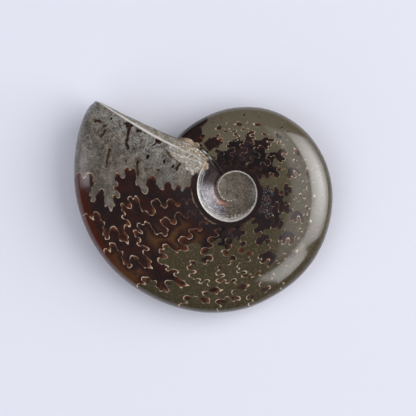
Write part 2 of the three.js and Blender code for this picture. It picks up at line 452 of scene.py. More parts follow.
# %% [markdown]
# ## Coordinates for the pattern
#
# The pattern on an ammonite repeats as it grows, each time turned and larger. Measured by the growth angle
# and the logarithm of the radius over the rim's, every repeat has the same shape and size, so the pattern
# is worked out in those two coordinates. Both are taken in plan. Past the rim's edge the way down the band
# counts instead.

# %% Growth angle and depth of every point
plan = laid[:, :2] - coil_middle[:2]
radius = np.hypot(plan[:, 0], plan[:, 1])
angle = np.degrees(np.arctan2(-plan[:, 1], plan[:, 0]))
growth = angle + FULL_TURN * np.round((turn_of - angle) / FULL_TURN)
width = rim_radius(turn_of) - shoulder_radius(turn_of)
LEAST_RADIUS = 0.3
depth = np.log(np.maximum(radius, LEAST_RADIUS) / spiral_radius(growth))
on_band = out_of > width + 1e-6
depth = np.where(on_band, np.log(RIM_EDGE) + (out_of - width) / spiral_radius(growth), depth)
print("growth angle from", growth.min().round(), "to", growth.max().round())

# %% [markdown]
# ## The frilled chamber walls
#
# Each chamber wall meets the shell in a suture: one long frilled line from the rim to the hollow, with
# pointed lobes towards the older chambers and round saddles towards the mouth. One of them is given
# here as points of growth angle and depth. The others repeat it at the angles where the real sutures stand,
# and a smooth curve through the points rounds the frills.

# %% One suture, from the rim to the hollow, in degrees and depth
TEMPLATE_TIP = 132.7
TEMPLATE = np.array([
    (149, 0.1), (149, 0.06), (147, 0.045), (147.5, 0.02), (150, 0.01),
    (151, -.01), (153, -.03), (152.2, -.05), (150.2, -.06), (151.5, -.075), (153.2, -.09), (153.3, -.11),
    (152, -.125), (150.6, -.125), (149.5, -.12), (148, -.14), (147.3, -.135), (146.5, -.12), (146, -.105),
    (144.8, -.10), (143.5, -.085), (142.8, -.085), (142, -.10), (140.3, -.09), (140.2, -.12), (142, -.13),
    (143.5, -.15), (144.5, -.17), (144.4, -.19), (142, -.20), (140, -.19), (138.5, -.185), (137.5, -.185),
    (136.2, -.175), (136.2, -.185), (135.5, -.20), (133, -.21), (134.5, -.22), (135.8, -.235), (136, -.25),
    (138.5, -.25), (141.5, -.255), (143, -.27), (141.5, -.295), (141.5, -.31), (143.5, -.315),
    (145.2, -.305),
    (146, -.285), (147, -.275), (148.2, -.28), (147.8, -.30), (148.5, -.315), (150, -.31), (151.5, -.295),
    (152.5, -.30), (154.5, -.31), (154.8, -.33), (153.5, -.345), (152, -.355), (151.3, -.37), (152.5, -.385),
    (155, -.38), (156.8, -.378), (158.2, -.40), (157, -.42), (156, -.43), (157.3, -.445), (157.8, -.465),
    (156.5, -.475), (155.8, -.49), (153, -.495), (150, -.49), (148, -.485), (146.5, -.49), (146.8, -.51),
    (146.5, -.535), (144.8, -.54), (143, -.555), (143.3, -.58), (144.5, -.60), (145.5, -.62), (148, -.62),
    (150, -.61), (152.5, -.615), (154.3, -.63), (154.8, -.66), (155.2, -.69), (154, -.71), (151.5, -.725),
    (149, -.72), (147.2, -.74), (146, -.76), (145.8, -.79), (147, -.805), (149.5, -.815), (151.5, -.83),
    (152.5, -.86), (152.5, -.89), (151.5, -.915), (149, -.93), (146.5, -.925), (144.8, -.94), (144, -.965),
    (144.8, -.99), (146.5, -1.01), (148.5, -1.03), (150, -1.06), (149.8, -1.09), (148.5, -1.11),
    (146.5, -1.12),
    (145, -1.10), (143, -1.10), (141.8, -1.12), (142.5, -1.14), (144.5, -1.16), (146, -1.19), (147, -1.22),
    (147, -1.26), (146, -1.28), (145, -1.31), (145, -1.36), (146, -1.42), (145, -1.8),
])
# The growth angle of each suture's longest lobe, from the oldest that shows to the last before the mouth.
TIPS = np.array([
    -143, -125, -107, -88.5, -70.5, -52, -33.5, -14.5, 5, 22, 42.7, 62, 78.2, 94.8, 113, 132.7, 150.3, 167,
])
USUAL_SPACING = 18.3
# How much deeper the pattern reaches than in the template, by growth angle.
STRETCH = np.array([
    (-160, 1.2), (-90, 1.19), (-40, 1.15), (0, 1.06), (25, 1.0), (90, 0.97), (133, 1.0), (200, 1.03),
])
TIP_TO_MIDDLE = 15
ROUNDING_STEPS = 3
TURN_WOBBLE = 0.9
DEPTH_WOBBLE = 0.006
DEGREE = math.pi / 180


def rounded(points, steps):
    """A smooth line through points: between two, it is a cubic that also looks at one point on each side."""
    ends = np.concatenate([points[:1], points, points[-1:]])
    a, b, c, d = ends[:-3, None], ends[1:-2, None], ends[2:-1, None], ends[3:, None]
    t = (np.arange(steps) / steps)[None, :, None]
    line = 0.5 * (2 * b + (c - a) * t + (2 * a - 5 * b + 4 * c - d) * t**2 + (3 * b - a - 3 * c + d) * t**3)
    return np.concatenate([line.reshape(-1, 2), points[-1:]])


def suture(tip, spacing, seed):
    """The template moved to its own growth angle, with a little wobble, so that no two are alike."""
    rng = np.random.default_rng(seed)
    turns, depths = TEMPLATE.T
    turns = tip + (turns - TEMPLATE_TIP) * spacing / USUAL_SPACING
    turns = turns + np.interp(depths, *wobble(rng, TURN_WOBBLE))
    depths = depths * through(STRETCH, tip + TIP_TO_MIDDLE) + np.interp(depths, *wobble(rng, DEPTH_WOBBLE))
    return rounded(np.stack([turns, depths], axis=-1), ROUNDING_STEPS) * [DEGREE, 1]


def wobble(rng, amount):
    """Random shifts for np.interp: a few depths, from the hollow out, and the shift at each."""
    depths = np.linspace(-1.8, 0.1, 20)
    return depths, rng.normal(0, amount, len(depths)) * (depths < -0.02)


SUTURES = [suture(tip, spacing, i) for i, (tip, spacing) in enumerate(zip(TIPS, np.gradient(TIPS)))]
print("sutures:", len(SUTURES), "points in each:", len(SUTURES[0]))

# %% [markdown]
# ## How far every point is from the sutures
#
# A crisp line on a mesh of limited fineness needs a field that passes evenly through zero at the line, so
# each point stores its distance to the nearest suture, with a sign that flips from chamber to chamber. The
# shader draws the line where that distance is small. The chamber's own number comes from counting the
# sutures on the point's older side.

# %% Smooth noise
def lattice_noise(points, size, seed):
    """Smooth noise from -1 to 1: random values on a lattice of this size, blended by smoothed shares."""
    cells = 32
    table = np.random.default_rng(seed).uniform(-1, 1, (cells, cells, cells))
    scaled = points / size
    cell = np.floor(scaled).astype(int)
    t = scaled - cell
    t = t * t * (3 - 2 * t)
    total = np.zeros(len(points))
    for corner in np.ndindex(2, 2, 2):
        i, j, k = ((cell + corner) % cells).T
        total += np.prod(np.where(corner, t, 1 - t), axis=1) * table[i, j, k]
    return total


def step_between(low, high, value):
    """Rises smoothly from 0 at low to 1 at high, or falls if low is the larger."""
    t = np.clip((value - low) / (high - low), 0, 1)
    return t * t * (3 - 2 * t)


# %% Distance and chamber by measuring against each suture
CHUNK = 1500
NEAR_OLDER = 10
NEAR_YOUNGER = 40
FAR = 0.3
FRILL = 0.05
FINE_FRILL = 0.022


def measure(a, b, line):
    """Distance from points (a, b) to a line of segments, and whether each lies on its younger side."""
    start, step = line[:-1], np.diff(line, axis=0)
    to_x, to_y = a[:, None] - start[:, 0], b[:, None] - start[:, 1]
    share = np.clip((to_x * step[:, 0] + to_y * step[:, 1]) / (step**2).sum(axis=1), 0, 1)
    distance = np.hypot(to_x - share * step[:, 0], to_y - share * step[:, 1]).min(axis=1)
    spans = (start[:, 1] > b[:, None]) != (line[1:, 1] > b[:, None])
    rise = np.where(step[:, 1] == 0, 1, step[:, 1])
    crossing = start[:, 0] + step[:, 0] * (b[:, None] - start[:, 1]) / rise
    younger = (spans & (crossing < a[:, None])).sum(axis=1) % 2 == 1
    return distance, younger


def chambers(a, b):
    """Each point's chamber number, distance to the nearest suture, and signed distance to the last one."""
    chamber = np.zeros(len(a), dtype=int)
    nearest = np.full(len(a), FAR)
    last = np.full(len(a), -FAR)
    for tip, line in zip(TIPS, SUTURES):
        chamber += a > tip + NEAR_YOUNGER
        close = np.flatnonzero((a > tip - NEAR_OLDER) & (a <= tip + NEAR_YOUNGER))
        for some in np.array_split(close, len(close) // CHUNK + 1):
            distance, younger = measure(a[some] * DEGREE, b[some], line)
            chamber[some] += younger
            nearest[some] = np.minimum(nearest[some], distance)
            last[some] = np.where(younger, distance, -distance) if tip == TIPS[-1] else last[some]
    last[a > TIPS[-1] + NEAR_YOUNGER] = FAR
    return chamber, nearest, last


def frills(amount, fine_amount, seed):
    """A coarse and a fine noise in the pattern's own plane, added together; each side has its own."""
    pattern = np.stack([growth * DEGREE, depth, 0.01 * side_of], axis=-1)
    return (amount * lattice_noise(pattern, FRILL, seed)
            + fine_amount * lattice_noise(pattern, FINE_FRILL, seed + 1))


frilled_growth = growth + frills(0.55, 0.4, 1)
frilled_depth = depth + frills(0.008, 0.006, 3)
chamber, nearest, last_suture = chambers(frilled_growth, frilled_depth)
even = chamber % 2 == 0
print("chambers seen:", chamber.min(), "to", chamber.max())

# %% [markdown]
# ## Folds
#
# In the olive parts of the fossil, brown shows only inside the narrow folds of a suture. To find the folds,
# the chambers are drawn on a flat map by number, and the map is blurred: where a point's own number has
# thinned out, the point sits in a fold. A little blur finds narrow folds, and more of it tells the lobes,
# which the older chamber's number fills, from the saddles.

# %% A blurred map of chambers
CELL = 0.25
MAP_STEP = CELL * DEGREE
MAP_START = np.array([-165 * DEGREE, -1.75])
MAP_SIZE = (1620, 430)
NARROW_FOLD = 1.3
WIDE_FOLD = 3.2


def chamber_map():
    """Crossings of every suture with the map's rows, each adding or taking one, summed from the old end."""
    steps = np.zeros(MAP_SIZE)
    for line in SUTURES:
        cells = (line - MAP_START) / MAP_STEP
        low, high = np.minimum(cells[:-1, 1], cells[1:, 1]), np.maximum(cells[:-1, 1], cells[1:, 1])
        first, count = np.ceil(low).astype(int), np.ceil(high).astype(int) - np.ceil(low).astype(int)
        segment = np.repeat(np.arange(len(count)), count)
        row = np.repeat(first, count) + np.arange(len(segment)) - np.repeat(np.cumsum(count) - count, count)
        start, end = cells[segment], cells[segment + 1]
        column = start[:, 0] + (end[:, 0] - start[:, 0]) * (row - start[:, 1]) / (end[:, 1] - start[:, 1])
        column = np.clip(np.ceil(column).astype(int), 0, MAP_SIZE[0] - 1)
        inside = (row >= 0) & (row < MAP_SIZE[1])
        direction = np.where(end[:, 1] < start[:, 1], 1, -1)
        np.add.at(steps, (column[inside], row[inside]), direction[inside])
    return np.cumsum(steps, axis=0)


def blurred(values, spread):
    """Averages a map with a bell curve of this spread, in map cells, first along it and then across."""
    reach = int(3 * spread)
    bell = np.exp(-0.5 * (np.arange(-reach, reach + 1) / spread) ** 2)
    bell /= bell.sum()
    for axis in (0, 1):
        padded = np.pad(values, [(reach, reach) if k == axis else (0, 0) for k in (0, 1)], mode="edge")
        size = values.shape[axis]
        values = sum(weight * padded.take(range(k, k + size), axis=axis) for k, weight in enumerate(bell))
    return values


def read_map(values, a, b):
    """The map's value at each point, blended between its four nearest cells."""
    at = (np.stack([a * DEGREE, b]) - MAP_START[:, None]) / MAP_STEP
    at = np.clip(at, 0, np.array(MAP_SIZE)[:, None] - 1.001)
    cell = at.astype(int)
    x, y = at - cell
    i, j = cell
    return ((1 - x) * (1 - y) * values[i, j] + x * (1 - y) * values[i + 1, j]
            + (1 - x) * y * values[i, j + 1] + x * y * values[i + 1, j + 1])


number_map = chamber_map()
even_map = (number_map % 2 == 0).astype(float)
narrow_even = read_map(blurred(even_map, NARROW_FOLD / CELL), frilled_growth, frilled_depth)
wide_number = read_map(blurred(number_map, WIDE_FOLD / CELL), frilled_growth, frilled_depth)


def straight_share(spread):
    """The share a point would have by a straight suture: a bell curve's sum up to the point's distance."""
    return 0.5 + 0.5 * np.tanh(0.8 * nearest / (spread * DEGREE))


narrow_straight = straight_share(NARROW_FOLD)
wide_straight = straight_share(WIDE_FOLD)
print("share of even chambers in the map:", even_map.mean().round(2))

# %% [markdown]
# ## Which chambers are brown
#
# Chambers near the rim kept their olive shell, and the polishing went deeper by the hollow and near the
# mouth, where the brown filling shows. For each chamber one number says how deep its olive part reaches. In
# the olive parts, some saddles also show a brown leaf: a round patch with a ragged edge. Even and odd
# chambers get a field each, and the shader picks one by the sign of the distance, so that the change at a
# suture is sharp.

# %% Olive and brown chambers
# The depth at which each chamber turns from olive to brown, from before the first suture to after the last.
BROWN_BELOW = np.array([
    -0.9, -0.66, -0.64, -0.46, -0.43, -0.42, -0.6, -1.3, -0.53, -0.52, -0.56, -1.2, -0.74, -0.7, -0.58,
    1.0, 1.0, 1.0, 1.0,
])
BROWN_SPAN = 0.2
ragged = 0.05 * lattice_noise(laid, 1.6, 11) + 0.08 * lattice_noise(laid, 0.75, 12)


def brown_of(number):
    """How far inside a chamber's brown part a point is, from -1 to 1, given the chamber's number there."""
    below = BROWN_BELOW[np.clip(number, 0, len(BROWN_BELOW) - 1)]
    return np.clip((below - depth - ragged) / BROWN_SPAN, -1, 1)


average_number = read_map(blurred(number_map, 1.0), growth, depth)
neighbour = np.where(average_number > chamber, chamber + 1, chamber - 1)
even_number = np.where(even, chamber, neighbour)
odd_number = np.where(even, neighbour, chamber)
brown_even = brown_of(even_number)
brown_odd = brown_of(odd_number)
print("brown share of the skin:", np.where(even, brown_even, brown_odd).mean().round(2))

# %% Brown leaves
# How far past its suture's longest lobe a leaf is, and how deep. Then each leaf's suture and its radius.
FAR_OFF = 9.0
LEAF_TURN = 20.5
LEAF_DEPTH = -0.39
LEAVES = [(1, 0.09), (3, 0.11), (4, 0.115), (5, 0.11), (6, 0.085), (8, 0.09), (9, 0.095), (10, 0.09)]


def leaf_distance(odd):
    """Distance past the edge of the nearest brown leaf among the even or the odd chambers' saddles."""
    nearest_leaf = np.full(len(growth), FAR_OFF)
    for number, size in LEAVES:
        if number % 2 == odd:
            turn = TIPS[number] + LEAF_TURN
            deeper = frilled_depth - LEAF_DEPTH * through(STRETCH, turn)
            away = np.hypot((frilled_growth - turn) * DEGREE, deeper)
            nearest_leaf = np.minimum(nearest_leaf, away - size)
    return nearest_leaf + 0.02 * lattice_noise(laid, 0.7, 13)


leaf_even, leaf_odd = leaf_distance(0), leaf_distance(1)
print("points in a leaf:", int((np.where(even, leaf_even, leaf_odd) < 0).sum()))

# %% [markdown]
# ## Veins, pits and grains
#
# Polishing also cut across veins and pits. They are strokes, each from one growth angle and depth to
# another, with a radius, and what a point stores is its distance to the nearest one less that stroke's
# radius.

# %% Strokes, listed one by one
BROWN_VEINS = [
    (188.5, -.235, 197, -.25, .18), (202, -.385, 211, -.365, .33), (206, -.10, 206.5, -.13, .3),
    (201.5, -.165, 204, -.185, .28), (205.5, -.17, 206, -.18, .28), (210.5, -.31, 212.5, -.37, .35),
    (210.5, -.45, 211, -.47, .35), (187, -.54, 195, -.515, .28), (211.5, -.66, 212, -.69, .45),
    (209, -.82, 207, -.9, .13), (207, -.9, 206, -1.04, .13), (197.8, -1.04, 205, -1.075, .26),
    (205, -1.075, 208, -1.03, .22), (205, -1.075, 209, -1.2, .1), (192.8, -.76, 193, -.78, .2),
    (178, -1.37, 194, -1.42, .35), (-131, 0, -113.5, -.03, 1.25), (-131, -.15, -121, -.15, .9),
    (-128, -.24, -124, -.28, .5), (-120, -.42, -111, -.42, .55), (-120, -.5, -108, -.52, .6),
]
DARK_PITS = [
    (193, -.405, 194, -.405, .13), (200, -.405, 201.5, -.405, .2), (198.5, -.61, 200.5, -.62, .22),
    (207, -.63, 210, -.665, .13), (209.5, -.335, 212, -.38, .2), (208.5, -.19, 209.5, -.2, .15),
    (200, -.83, 202, -.84, .15), (203, -.79, 204, -.8, .15), (199, -.96, 201, -.97, .2),
    (-131.5, -.2, -127, -.36, .22), (-131, -.38, -126.5, -.53, .3),
]
CREAM_STREAKS = [
    (112, -1.2, 120, -1.21, .08), (120, -1.21, 135, -1.26, .1), (135, -1.26, 150, -1.3, .1),
    (150, -1.3, 175, -1.345, .12), (-55.5, -1.07, -57, -1.22, .16), (-118.8, -.85, -118.3, -.86, .16),
    (-74, -.46, -73.8, -.46, .1), (196.5, -.6, 198, -.66, .06),
]
CRUST_SLABS = [(-136, -.06, -129.5, -.3, .5), (217, -1.64, 227, -1.56, .55)]
SPARKLES = [(8, -.98, 18, -1.08, .9), (20, -1.05, 34, -1.08, .7), (33, -.9, 38, -1.1, .9)]
ORANGE_SPOTS = [(119, -1.97, 128, -1.96, .32), (100, -1.93, 112, -1.95, .1)]


def stroke_distance(strokes):
    """Distance in millimetres from every point to the nearest of these strokes, less its radius."""
    nearest_stroke = np.full(len(laid), FAR_OFF)
    wavy = 0.16 * lattice_noise(laid, 0.5, 21)
    shift_x, shift_y = (0.22 * lattice_noise(laid, 0.9, seed) / np.maximum(radius, 1) for seed in (22, 23))
    for a0, b0, a1, b1, size in strokes:
        dx, dy = (a1 - a0) * DEGREE, b1 - b0
        x, y = (growth - a0) * DEGREE + shift_x, depth - b0 + shift_y
        share = np.clip((x * dx + y * dy) / (dx * dx + dy * dy + 1e-9), 0, 1)
        away = np.hypot(x - share * dx, y - share * dy) * np.maximum(radius, 1)
        nearest_stroke = np.minimum(nearest_stroke, away - size - wavy)
    return nearest_stroke


vein = stroke_distance(BROWN_VEINS)
pit = stroke_distance(DARK_PITS)
streak = stroke_distance(CREAM_STREAKS)
slab = stroke_distance(CRUST_SLABS)
sparkle = stroke_distance(SPARKLES)
orange = stroke_distance(ORANGE_SPOTS)
print("points inside a vein, a pit, a streak:", (vein < 0).sum(), (pit < 0).sum(), (streak < 0).sum())

# %% [markdown]
# ## Relief
#
# The polished flank is smooth but not perfect, so its reflections waver. The filling near the mouth has
# fine pits, the mouth itself is broken and lumpy, and the shoulder round the hollow has a thin raised lip.
# Each is a small shift along the surface's own direction, kept well under a millimetre so that the stone
# keeps its size. At last the mouth's tip is worn round: what lies beyond a plane is drawn back, ever more
# with its distance.

# %% Shift every point along its normal
WAVER = 0.03
GRAIN_DEPTH = 0.05
PIT_DEPTH = 0.06
LUMP_HEIGHT = 0.22
LUMPS = [(1, 1.6, 32), (0.5, 0.7, 33), (0.25, 0.33, 34)]
SLAB_HEIGHT = 0.12
RIDGE_HEIGHT = 0.04
RIDGE_FROM_RIM = 1.1
RIDGE_WIDTH = 0.12
LIP_HEIGHT = 0.05
WALL_WAVER = 0.03
TIP_REACH = 1.3
TIP_DIRECTION = np.array([-0.45, 0.89, 0])


def normals_of(position):
    """The direction out of the surface at each point: its triangles' directions, weighed by area."""
    a, b, c = (position[faces[:, k]] for k in range(3))
    cross = np.cross(b - a, c - a)
    total = np.stack([np.bincount(faces.ravel(), np.repeat(part, 3), len(position)) for part in cross.T], -1)
    return total / np.maximum(np.linalg.norm(total, axis=1, keepdims=True), 1e-12)


polished = step_between(-0.05, 0.4, end_of) * step_between(-0.05, 0.3, out_of)
in_matrix = step_between(-0.01, 0.01, last_suture)
crust_place = step_between(9.5, 7.0, out_of) * step_between(5.0, 5.8, radius)
crust_reach = mix(0.6, 3.4, step_between(9.0, 3.0, out_of))
crust = step_between(1.25, 0.75, (end_of + 0.9 * lattice_noise(laid, 1.2, 31)) / crust_reach) * crust_place
broken = step_between(0.0, -1.2, end_of) * mix(1, 0.25, step_between(9, 12, radius))
lumps = sum(share * lattice_noise(laid, size, seed) for share, size, seed in LUMPS)
grain = lattice_noise(laid, 0.45, 35)
relief = (
    WAVER * polished * lattice_noise(laid, 6.0, 36)
    - GRAIN_DEPTH * polished * in_matrix * step_between(0.35, 0.6, grain) * step_between(186, 200, growth)
    - PIT_DEPTH * polished * step_between(0.05, -0.1, pit)
    + LUMP_HEIGHT * np.maximum(broken, 0.3 * crust * step_between(2.0, 0.3, end_of)) * (lumps - 0.3)
    + SLAB_HEIGHT * step_between(0.1, -0.25, slab) * polished
    + RIDGE_HEIGHT * polished * step_between(150, 165, growth)
    * np.exp(-(((out_of - width + RIDGE_FROM_RIM) / RIDGE_WIDTH) ** 2))
    + LIP_HEIGHT * step_between(0.35, 0.0, np.abs(out_of)) * step_between(-20, 60, growth)
    + WALL_WAVER * step_between(-0.2, -0.5, out_of)
    * (lattice_noise(laid, 0.5, 37) + lattice_noise(laid, 1.1, 38))
)
shifted = laid + normals_of(laid) * relief[:, None]
beyond = np.maximum((shifted - laid[mid_line[-1]]) @ TIP_DIRECTION + TIP_REACH, 0)
shifted -= (beyond - TIP_REACH * (1 - np.exp(-beyond / TIP_REACH)))[:, None] * TIP_DIRECTION
shifted[:, 2] = np.where(laid[:, 2] <= 0, 0, np.maximum(shifted[:, 2], 0))
print("relief from", relief.min().round(2), "to", relief.max().round(2), "mm")

# %% [markdown]
# ## One mesh
#
# The arrays go into one closed mesh in a few calls, with the fields as named attributes for the shader to
# read and with the growth angle and depth as a UV map.

# %% Build the skin
MM = 0.001


def mesh_object(name, position, corners):
    """A smooth-shaded mesh object at the origin from arrays of places, in metres, and triangles."""
    mesh = bpy.data.meshes.new(name)
    mesh.vertices.add(len(position))
    mesh.vertices.foreach_set("co", position.astype(np.float32).ravel())
    mesh.loops.add(corners.size)
    mesh.loops.foreach_set("vertex_index", corners.astype(np.int32).ravel())
    mesh.polygons.add(len(corners))
    mesh.polygons.foreach_set("loop_start", np.arange(0, corners.size, 3, dtype=np.int32))
    mesh.update(calc_edges=True)
    mesh.polygons.foreach_set("use_smooth", np.ones(len(corners), dtype=bool))
    mesh.validate()
    made = bpy.data.objects.new(name, mesh)
    bpy.context.collection.objects.link(made)
    return made


def give(mesh, name, values):
    """Stores one number for each point under a name that the shader can read."""
    mesh.attributes.new(name, "FLOAT", "POINT").data.foreach_set("value", values.astype(np.float32))


fossil = mesh_object("ammonite_skin", shifted * MM, faces)
FIELDS = {
    "suture": np.where(even, nearest, -nearest) * radius,
    "narrow_even": narrow_even,
    "ahead_even": wide_number - even_number,
    "ahead_odd": wide_number - odd_number,
    "leaf_even": leaf_even,
    "leaf_odd": leaf_odd,
    "narrow_straight": narrow_straight,
    "wide_straight": wide_straight,
    "foot": 2 * math.pi * np.hypot(coil[:, 0], coil[:, 1]) - end_of,
    "brown_even": brown_even,
    "brown_odd": brown_odd,
    "last_suture": last_suture * radius,
    "growth": growth,
    "depth": depth,
    "out": out_of,
    "end": end_of,
    "crust": crust,
    "vein": vein,
    "pit": pit,
    "streak": streak,
    "slab": slab,
    "sparkle": sparkle,
    "orange": orange,
    "radius": radius,
}
for name, values in FIELDS.items():
    give(fossil.data, name, values)
uv = fossil.data.uv_layers.new(name="growth_and_depth")
uv.data.foreach_set("uv", np.stack([growth * DEGREE, depth], -1)[faces.ravel()].astype(np.float32).ravel())
print("fields:", ", ".join(FIELDS))

# %% [markdown]
# ## A small vocabulary for materials
#
# Shader graphs are easier to read as formulas. These helpers each add one node and give back its output, so
# that a material can be written as nested calls.

# %% Helpers for shader nodes
def linear(red, green, blue):
    """A colour as a screen shows it, from 0 to 255, turned into the linear light that shaders use."""
    share = np.array([red, green, blue]) / 255
    light = np.where(share <= 0.04045, share / 12.92, ((share + 0.055) / 1.055) ** 2.4)
    return (*light.tolist(), 1.0)


class Graph:
    """Adds nodes to one material and wires them."""

    def __init__(self, name):
        self.material = bpy.data.materials.new(name)
        self.material.use_nodes = True
        self.tree = self.material.node_tree
        self.shader = self.tree.nodes["Principled BSDF"]

    def put(self, socket, value):
        """Wires an output to a socket, or sets the socket to a value."""
        if isinstance(value, bpy.types.NodeSocket):
            self.tree.links.new(value, socket)
        else:
            socket.default_value = value

    def field(self, name):
        """One of the skin's own fields."""
        node = self.tree.nodes.new("ShaderNodeAttribute")
        node.attribute_name = name
        return node.outputs["Fac"]

    def calc(self, operation, *values):
        """Arithmetic on one to three numbers."""
        node = self.tree.nodes.new("ShaderNodeMath")
        node.operation = operation
        for socket, value in zip(node.inputs, values):
            self.put(socket, value)
        return node.outputs[0]

    def ramp(self, value, low, high, to_low=0.0, to_high=1.0):
        """Rises smoothly from to_low to to_high as the value goes from low to high."""
        node = self.tree.nodes.new("ShaderNodeMapRange")
        node.interpolation_type = "SMOOTHSTEP"
        for socket, number in zip(node.inputs, (value, low, high, to_low, to_high)):
            self.put(socket, number)
        return node.outputs[0]

    def near(self, value, middle, reach, core):
        """Rises from 0 to 1 as the value comes from further than reach to within core of a middle."""
        return self.ramp(self.calc("ABSOLUTE", self.calc("SUBTRACT", value, middle)), reach, core)

    def mixed(self, kind, share, first, second):
        """A Mix node for one kind of value, which gives the first where the share is 0."""
        node = self.tree.nodes.new("ShaderNodeMix")
        node.data_type = "RGBA" if kind == "Color" else "FLOAT"
        for name, value in (("Factor_Float", share), ("A_" + kind, first), ("B_" + kind, second)):
            self.put(next(s for s in node.inputs if s.identifier == name), value)
        return next(s for s in node.outputs if s.identifier == "Result_" + kind)

    def blend(self, share, first, second):
        """The first colour where the share is 0 and the second where it is 1."""
        return self.mixed("Color", share, first, second)

    def pick(self, share, first, second):
        """The first number where the share is 0 and the second where it is 1."""
        return self.mixed("Float", share, first, second)

    def layers(self, colour, *coats):
        """Lays coats over a colour, one after another. A coat is the share that it covers and its colour."""
        for share, coat in coats:
            colour = self.blend(share, colour, coat)
        return colour

    def noise_at(self, place, scale, detail):
        """A node for noise read at a place. Its lumps are about one over the scale across."""
        node = self.tree.nodes.new("ShaderNodeTexNoise")
        self.put(node.inputs["Vector"], place)
        node.inputs["Scale"].default_value = scale
        node.inputs["Detail"].default_value = detail
        return node

    def noise(self, size, detail=3.0, shift=0.0):
        """Noise whose lumps are about this many millimetres across."""
        place = self.tree.nodes.new("ShaderNodeTexCoord").outputs["Object"]
        mapping = self.tree.nodes.new("ShaderNodeMapping")
        mapping.inputs["Location"].default_value = (shift, shift, shift)
        self.put(mapping.inputs["Vector"], place)
        node = self.noise_at(mapping.outputs[0], 1 / (size * MM), detail)
        node.inputs["Roughness"].default_value = 0.55
        return node.outputs["Fac"]

    def spots(self, size, detail, shift, low, high, to_low=0.0, to_high=1.0):
        """Soft-edged spots: noise that is pushed down to to_low below low, and up to to_high above high."""
        return self.ramp(self.noise(size, detail, shift), low, high, to_low, to_high)

    def streaks(self, along, length, across, width, detail=3.0, shift=0.0):
        """Noise drawn out along one of the skin's fields, its length and width in the fields' own units."""
        place = self.tree.nodes.new("ShaderNodeCombineXYZ")
        self.put(place.inputs["X"], self.calc("DIVIDE", self.field(along), length))
        self.put(place.inputs["Y"], self.calc("DIVIDE", self.field(across), width))
        place.inputs["Z"].default_value = shift
        return self.noise_at(place.outputs[0], 1.0, detail).outputs["Fac"]

    def both(self, *shares):
        """The product of several shares."""
        total = shares[0]
        for share in shares[1:]:
            total = self.calc("MULTIPLY", total, share)
        return total

    def either(self, *shares):
        """The largest of several shares."""
        total = shares[0]
        for share in shares[1:]:
            total = self.calc("MAXIMUM", total, share)
        return total

    def but_not(self, share):
        """One less the share."""
        return self.calc("SUBTRACT", 1.0, share)


# %% [markdown]
# ## Olive shell and brown filling
#
# The olive is the shell itself, cloudy and faintly greenish. The brown is crystal that filled the chambers:
# almost black where it is deep, orange where it thins out against a suture, amber in two patches of the
# youngest chambers. A picture could be wrapped on, but it would blur close up. Here each colour is a coat
# with a share of its own, and the shares come from the fields, so every edge stays crisp at any distance.

# %% Olive shell
OLIVE = linear(80, 72, 53)
OLIVE_GREEN = linear(70, 64, 43)
OLIVE_YOUNG = linear(60, 51, 31)
OLIVE_GREY = linear(108, 100, 83)


def olive_shell(g, growth):
    """The shell in clouds of green and grey, yellower on its youngest part, and greyer towards the top,
    where a reflection veil is painted.
    """
    return g.layers(
        OLIVE,
        (g.spots(3.5, 4.0, 0.0, 0.38, 0.64), OLIVE_GREEN),
        (g.both(g.ramp(growth, 0.0, 80.0), 0.8), OLIVE_YOUNG),
        # Painted reflection: a grey veil over the olive towards the top of the coil.
        (g.both(g.ramp(growth, -10.0, -70.0), 0.6), OLIVE_GREY),
        (g.both(g.spots(0.45, 3.0, 3.0, 0.45, 0.75), 0.5), OLIVE_GREY),
    )


# %% Brown filling
NEAR_BLACK = linear(15, 9, 8)
DARK_BROWN = linear(31, 16, 12)
PURPLE_BROWN = linear(42, 29, 30)
RED_BROWN = linear(50, 20, 11)
RIM_RED = linear(84, 34, 15)
AMBER = linear(86, 55, 28)


def brown_filling(g, growth, depth, away):
    """Crystal in a chamber: black and purple on the old part, then red brown, with amber off the sutures."""
    purple = g.either(g.both(g.spots(2.4, 2.0, 8.0, 0.45, 0.6), 0.8),
                      g.both(g.ramp(growth, -22.0, -8.0), g.ramp(growth, 80.0, 60.0), 0.55))
    warm = g.layers(
        DARK_BROWN,
        (g.spots(3.0, 2.0, 9.0, 0.42, 0.6), RED_BROWN),
        (g.ramp(depth, -0.9, -1.15), PURPLE_BROWN),
        (g.ramp(depth, -0.1, -0.02), RIM_RED),
    )
    inner_patch = g.both(g.ramp(depth, -0.32, -0.45), g.ramp(depth, -0.98, -0.8))
    rim_patch = g.ramp(depth, -0.17, -0.12)
    amber = g.both(g.ramp(away, 0.3, 1.2), g.ramp(growth, 114.0, 128.0), g.ramp(growth, 160.0, 146.0),
                   g.spots(3.2, 3.0, 2.0, 0.34, 0.54), g.either(inner_patch, rim_patch), 0.9)
    return g.layers(
        NEAR_BLACK,
        (g.spots(1.8, 3.0, 7.0, 0.4, 0.62), DARK_BROWN),
        (purple, PURPLE_BROWN),
        (g.both(g.ramp(growth, 100.0, 125.0), 0.8), warm),
        (amber, AMBER),
    )


# %% Olive or brown, by chamber
ORANGE = linear(116, 60, 27)
DIM_ORANGE = linear(82, 40, 22)
OLD_PART = (76.0, 66.0)
FOLD = (0.13, 0.18)
VEIN_EDGE = (0.08, -0.02)


